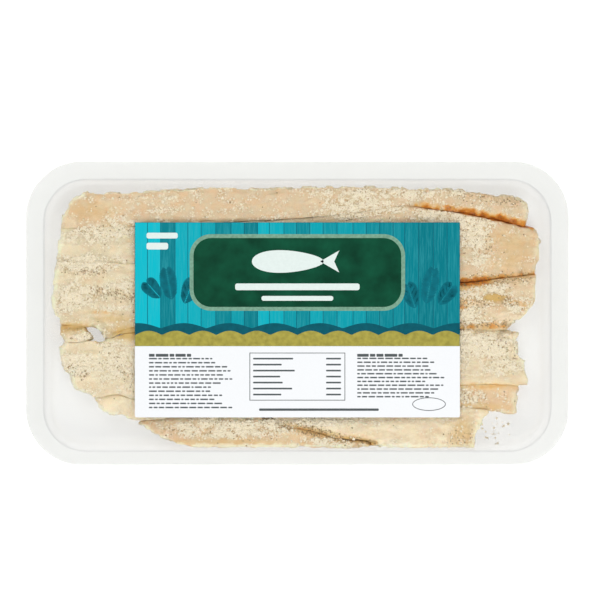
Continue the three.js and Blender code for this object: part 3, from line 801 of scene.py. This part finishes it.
def sheet_shape(bm, low, high, radius, bottom, top, steps=6):
    """A thin plate with round corners."""
    face = rounded_outline(bm, low, high, radius, bottom, steps)
    made = bmesh.ops.extrude_face_region(bm, geom=[face], use_keep_orig=True)
    raised = [v for v in made["geom"] if isinstance(v, bmesh.types.BMVert)]
    bmesh.ops.translate(bm, verts=raised, vec=(0, 0, top - bottom))


def draw_disc(bm, segments, height, place):
    """A flat face at a height, its rim a unit circle that place turns into another shape, in mm."""
    rim = bmesh.ops.create_circle(bm, cap_ends=True, segments=segments, radius=1)["verts"]
    for v in rim:
        v.co = Vector((*place(v.co.x, v.co.y), 0)) * MM
        v.co.z = height
    return rim[0].link_faces[0]


def draw_boxes(bm, boxes, radius, layer, steps=6):
    """Plates of print on top of a layer. Their boxes and corner radius are in mm."""
    for box in boxes:
        low, high = Vector(box[:2]) * MM, Vector(box[2:]) * MM
        sheet_shape(bm, low, high, radius * MM, level(layer), level(layer + 1), steps)


def printed(name, material, draw, *shape):
    """A printed piece: draw adds its flat shapes to a bmesh."""
    bm = bmesh.new()
    draw(bm, *shape)
    bmesh.ops.recalc_face_normals(bm, faces=bm.faces)
    return new_piece(name, mesh_of(bm, name), material, smooth=False)


def paper_look(name, colour, grain, spread):
    """Varnished print: glossy, and darker by up to the spread in blotches as large as the grain."""
    look, shader = new_material(name, Roughness=0.14, IOR=1.5)
    place = add_node(look, "TexCoord").outputs["Object"]
    fibre = add_node(look, "TexNoise", {"Vector": place}, Scale=1 / grain, Detail=3)
    shade = add_node(look, "MapRange", {"Value": fibre.outputs["Fac"]}, i1=0.3, i2=0.7, i3=1 - spread, i4=1)
    tint = add_node(
        look, "Mix", {7: shade.outputs[0]}, data_type="RGBA", blend_type="MULTIPLY", i0=1, i6=linear(colour)
    )
    bump = add_node(look, "Bump", {"Height": fibre.outputs["Fac"]}, Strength=0.15, Distance=0.02 * MM)
    plug(look, shader, {"Base Color": tint.outputs[2], "Normal": bump.outputs["Normal"]})
    return look


paper = paper_look("varnished_label_paper", "ECEEF0", 0.6 * MM, 0.02)
label_sheet = printed(
    "label_sheet", paper, sheet_shape, label_low.xy, label_high.xy, 0.8 * MM, label_low.z, sheet_top
)
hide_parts("label")

# The boards: one teal field, and over it a board between each two dark joints.
BOARDS = 24
JOINT = 0.14 * MM  # half the width of a joint
joint_ink = paper_look("dark_teal_ink", "0E6272", 1.5 * MM, 0.15)
field_low = (label_low.x, FIELD_BOTTOM)
printed("label_field", joint_ink, sheet_shape, field_low, label_high.xy, 0.3 * MM, level(0), level(1))

# Printed wood: each board its own teal, with long pale streaks worn along it.
board_ink, board_shader = new_material("weathered_teal_ink", Roughness=0.14)
board_tone = add_node(board_ink, "Attribute", attribute_name="tone").outputs["Fac"]
board_place = add_node(board_ink, "TexCoord").outputs["Object"]
drawn_long = add_node(
    board_ink, "Mapping", {"Vector": board_place}, Scale=(1 / (0.8 * MM), 1 / (14 * MM), 1)
)
streaks = add_node(board_ink, "TexNoise", {"Vector": drawn_long.outputs[0]}, Scale=1, Detail=5, Roughness=0.7)
worn = add_node(board_ink, "MapRange", {"Value": streaks.outputs["Fac"]}, i1=0.45, i2=0.8, i3=0, i4=0.5)
teal = add_node(
    board_ink, "Mix", {"Factor": board_tone}, data_type="RGBA", i6=linear("046F7B"), i7=linear("0AB4C4")
)
worn_teal = add_node(
    board_ink, "Mix", {"Factor": worn.outputs[0], 6: teal.outputs[2]}, data_type="RGBA", i7=linear("44B2BB")
)
plug(board_ink, board_shader, {"Base Color": worn_teal.outputs[2]})


def draw_boards(bm):
    pick = random.Random(4)
    edges = [label_low.x + (label_high.x - label_low.x) * i / BOARDS for i in range(BOARDS + 1)]
    edges = [edges[0]] + [x + pick.uniform(-0.7, 0.7) * MM for x in edges[1:-1]] + [edges[-1]]
    tone = bm.faces.layers.float.new("tone")
    for left, right in zip(edges, edges[1:]):
        before = set(bm.faces)
        sheet_shape(
            bm, (left + JOINT, FIELD_BOTTOM), (right - JOINT, label_high.y - 0.1 * MM), 0.1 * MM,
            level(1), level(2), 2,
        )
        shade = pick.random() * (0.7 - 0.6 * left / label_high.x)
        for face in set(bm.faces) - before:
            face[tone] = shade


printed("label_boards", board_ink, draw_boards)

# Feathery leaves in a darker teal, half hidden by the plate: root x and y, lean and length.
LEAVES = (
    (-52, 3, 1.75, 15), (-56, 5, 2.3, 10), (-48, 2, 1.2, 12), (53, 1, 1.35, 17), (58, 2, 0.95, 11),
    (50, 0, 1.9, 12),
)
LEAF_STEPS = 16
BLADE_LEAN, BLADE_HALF_WIDTH = 0.75, 0.42
leaf_ink = paper_look("leaf_teal_ink", "0C7180", 3 * MM, 0.35)


def draw_leaves(bm):
    """Pairs of oval blades up each stem, longest at its middle. Each lies a hair above the last."""
    for root_x, root_y, lean, reach in LEAVES:
        stem = Vector((math.cos(lean), math.sin(lean)))
        for step in range(3, LEAF_STEPS + 1):
            at = Vector((root_x, root_y)) + stem * reach * step / LEAF_STEPS
            long = 4.6 * math.sin(math.pi * (step + 2) / 20) + 0.8
            for side_of in (-1, 1):
                turn = lean + side_of * BLADE_LEAN

                def blade(x, y):
                    along, across = (x + 1) / 2 * long, y * BLADE_HALF_WIDTH
                    return (
                        at.x + along * math.cos(turn) - across * math.sin(turn),
                        at.y + along * math.sin(turn) + across * math.cos(turn),
                    )

                draw_disc(bm, 10, level(2.5) + side_of * 0.1 * PRINT + step * 0.01 * PRINT, blade)


printed("label_leaves", leaf_ink, draw_leaves)

# The plate: mint edge, green field, and on it a plain fish over two bars.
mint_ink = paper_look("mint_ink", "7FA992", 1.2 * MM, 0.3)
green_ink = paper_look("deep_green_ink", "0F5038", 9 * MM, 0.5)
white_ink = paper_look("white_ink", "DDE8E4", 1 * MM, 0.05)
FISH_BODY = (-4, 21.6, 15, 4.6)  # middle x and y, half length and half height, in mm
FISH_TAIL = ((9.5, 21.6), (17.5, 26.2), (15.4, 21.6), (17.5, 17))


def draw_fish(bm):
    """An oval body that is fuller at the head, a forked tail and two bars."""
    mid_x, mid_y, half_long, half_high = FISH_BODY
    draw_disc(bm, 48, level(5), lambda x, y: (
        mid_x + half_long * x, mid_y + half_high * y * (1 - 0.25 * x)
    ))
    tail = [bm.verts.new(Vector((*corner, 0)) * MM) for corner in FISH_TAIL]
    bm.faces.new(tail)
    for v in tail:
        v.co.z = level(5)
    draw_boxes(bm, ((-26, 9.6, 26, 12.4), (-15, 5.2, 15, 7.2)), 0.9, 4)


printed("label_plate_edge", mint_ink, draw_boxes, [(-45, 1, 45, 33)], 9, 2, 12)
printed("label_plate", green_ink, draw_boxes, [(-43.4, 2.6, 43.4, 31.4)], 7.4, 3, 12)
printed("label_fish", white_ink, draw_fish)
white_bars = (-63, 31.2, -50, 33.6), (-63, 26.6, -54, 29.4)
printed("label_white_bars", white_ink, draw_boxes, white_bars, 0.8, 2)

# The wave: a yellow band with a scalloped top along the foot of the boards, and a dark one behind it.
yellow_ink = paper_look("yellow_ink", "ADA34C", 2 * MM, 0.3)
deep_ink = paper_look("deep_blue_ink", "0B5A68", 2 * MM, 0.2)


def draw_wave(bm, rise, swing, length, layer):
    """A band whose top rises and swings in scallops of one length."""
    base = FIELD_BOTTOM + 0.05 * MM
    for v in bmesh.ops.create_grid(bm, x_segments=160, y_segments=1, size=1)["verts"]:
        x = label_low.x + 0.1 * MM + (v.co.x + 1) / 2 * (label_high.x - label_low.x - 0.2 * MM)
        crest = rise + swing * abs(math.sin(math.pi * x / length))
        v.co = Vector((x, base if v.co.y < 0 else base + crest, level(layer)))


printed("label_deep_wave", deep_ink, draw_wave, 7.4 * MM, 2.2 * MM, 19 * MM, 3)
printed("label_yellow_wave", yellow_ink, draw_wave, 4.6 * MM, 1.8 * MM, 11.3 * MM, 4)

# The white panel: grey dashes in place of small print, a ruled box with bars in it, and an oval.
grey_ink = paper_look("grey_ink", "565C5E", 0.8 * MM, 0.1)
COLUMNS = ((-62, 36, -17, 14, 1.7), (25, 38, -17, 12, 1.6))  # left, width, top, rows and their pitch
HEAD_THICK, LINE_THICK, DASH_GAP = 1.2, 0.6, 0.5
RULED_BOX, RULE = (-20, -36.5, 20, -16.5), 0.3
OVAL = (55, -38, 7, 2.8)  # middle x and y, half length and half height


def draw_small_print(bm):
    pick = random.Random(8)
    for column, width, top, rows, pitch in COLUMNS:
        for row in range(rows):
            y = top - row * pitch
            thick = HEAD_THICK if row == 0 else LINE_THICK
            x, end = column, column + width * (0.5 if row == 0 else pick.uniform(0.7, 1))
            while x < end - 1:
                dash = min(pick.uniform(0.9, 3.4) * (1.6 if row == 0 else 1), end - x)
                draw_boxes(bm, [(x, y - thick, x + dash, y)], 0.15, 0, 1)
                x += dash + DASH_GAP
    left, bottom, right, top = RULED_BOX
    draw_boxes(bm, (
        (left, bottom, right, bottom + RULE), (left, top - RULE, right, top),
        (left, bottom, left + RULE, top), (right - RULE, bottom, right, top),
    ), 0.05, 0, 1)
    for row in range(1, 8):
        y = top - row * 2.5
        for x0, x1 in ((left + 1.5, left + pick.uniform(12, 22)), (right - 8, right - 1.8)):
            draw_boxes(bm, [(x0, y - 0.35, x1, y + 0.35)], 0.2, 0, 2)
    draw_boxes(bm, [(-16, -40.8, 34, -39.8)], 0.3, 0, 2)
    mid_x, mid_y, half_long, half_high = OVAL
    face = draw_disc(bm, 48, level(1), lambda x, y: (mid_x + half_long * x, mid_y + half_high * y))
    bmesh.ops.inset_region(bm, faces=[face], thickness=RULE * MM, use_boundary=True)
    bmesh.ops.delete(bm, geom=[face], context="FACES_ONLY")


printed("label_small_print", grey_ink, draw_small_print)

# ---- Studio ----------------------------------------------------------------------------------
# A white floor and a white light tent that is bright at the horizon, dimmer above and dark straight
# overhead, so that the film doesn't mirror it; two large soft lamps; a long lens straight above.

FRAME_WIDTH = 0.2507
CAMERA_HEIGHT = 1.5
SENSOR = 36
FLOOR_GAP = 0.05 * MM  # keeps the floor's top apart from the tray's underside
TENT_STRENGTH, TENT_HORIZON, TENT_SIDES, TENT_TOP = 1.1, 1, 0.52, 0.05
LAMPS = (("key", 4.3, (-0.2, 0.5, 1.0)), ("fill", 5.9, (0.25, -0.55, 1.0)))
LAMP_WIDTH = 0.7


def grey(brightness):
    return brightness, brightness, brightness, 1


floor_bm = bmesh.new()
bmesh.ops.create_grid(floor_bm, x_segments=1, y_segments=1, size=6)
bmesh.ops.translate(floor_bm, verts=floor_bm.verts, vec=(0, 0, -FLOOR_GAP))
floor = linked("floor", mesh_of(floor_bm, "floor"))
floor_look, _ = new_material(
    "white_paper_floor", Base_Color=grey(0.4), Roughness=0.9, Emission_Color=grey(1), Emission_Strength=1
)
floor.data.materials.append(floor_look)

world = bpy.data.worlds.new("studio")
world.use_nodes = True
tent = world.node_tree.nodes["Background"]
tent.inputs["Strength"].default_value = TENT_STRENGTH
tent_place = add_node(world, "TexCoord").outputs["Generated"]
tent_parts = add_node(world, "SeparateXYZ", {"Vector": tent_place})
tent_ramp = add_node(world, "ValToRGB", {"Fac": tent_parts.outputs["Z"]})
horizon, overhead = tent_ramp.color_ramp.elements
horizon.position, horizon.color = 0.08, grey(TENT_HORIZON)
overhead.position, overhead.color = 0.988, grey(TENT_TOP)
for height in (0.3, 0.96):
    tent_ramp.color_ramp.elements.new(height).color = grey(TENT_SIDES)
plug(world, tent, {"Color": tent_ramp.outputs["Color"]})
bpy.context.scene.world = world

for lamp_name, energy, place in LAMPS:
    lamp_data = bpy.data.lights.new(lamp_name, "AREA")
    lamp_data.shape, lamp_data.size, lamp_data.energy = "DISK", LAMP_WIDTH, energy
    lamp = linked(lamp_name, lamp_data)
    lamp.location = Vector(place)
    lamp.rotation_mode = "QUATERNION"
    lamp.rotation_quaternion = (-lamp.location).to_track_quat("-Z", "Y")

camera_data = bpy.data.cameras.new("camera")
camera_data.sensor_width = SENSOR
camera_data.lens = SENSOR * CAMERA_HEIGHT / FRAME_WIDTH
camera = linked("camera", camera_data)
camera.location = (1.1 * MM, 5.5 * MM, tray_high.z + CAMERA_HEIGHT)
bpy.context.scene.camera = camera
bpy.context.scene.view_settings.view_transform = "Standard"
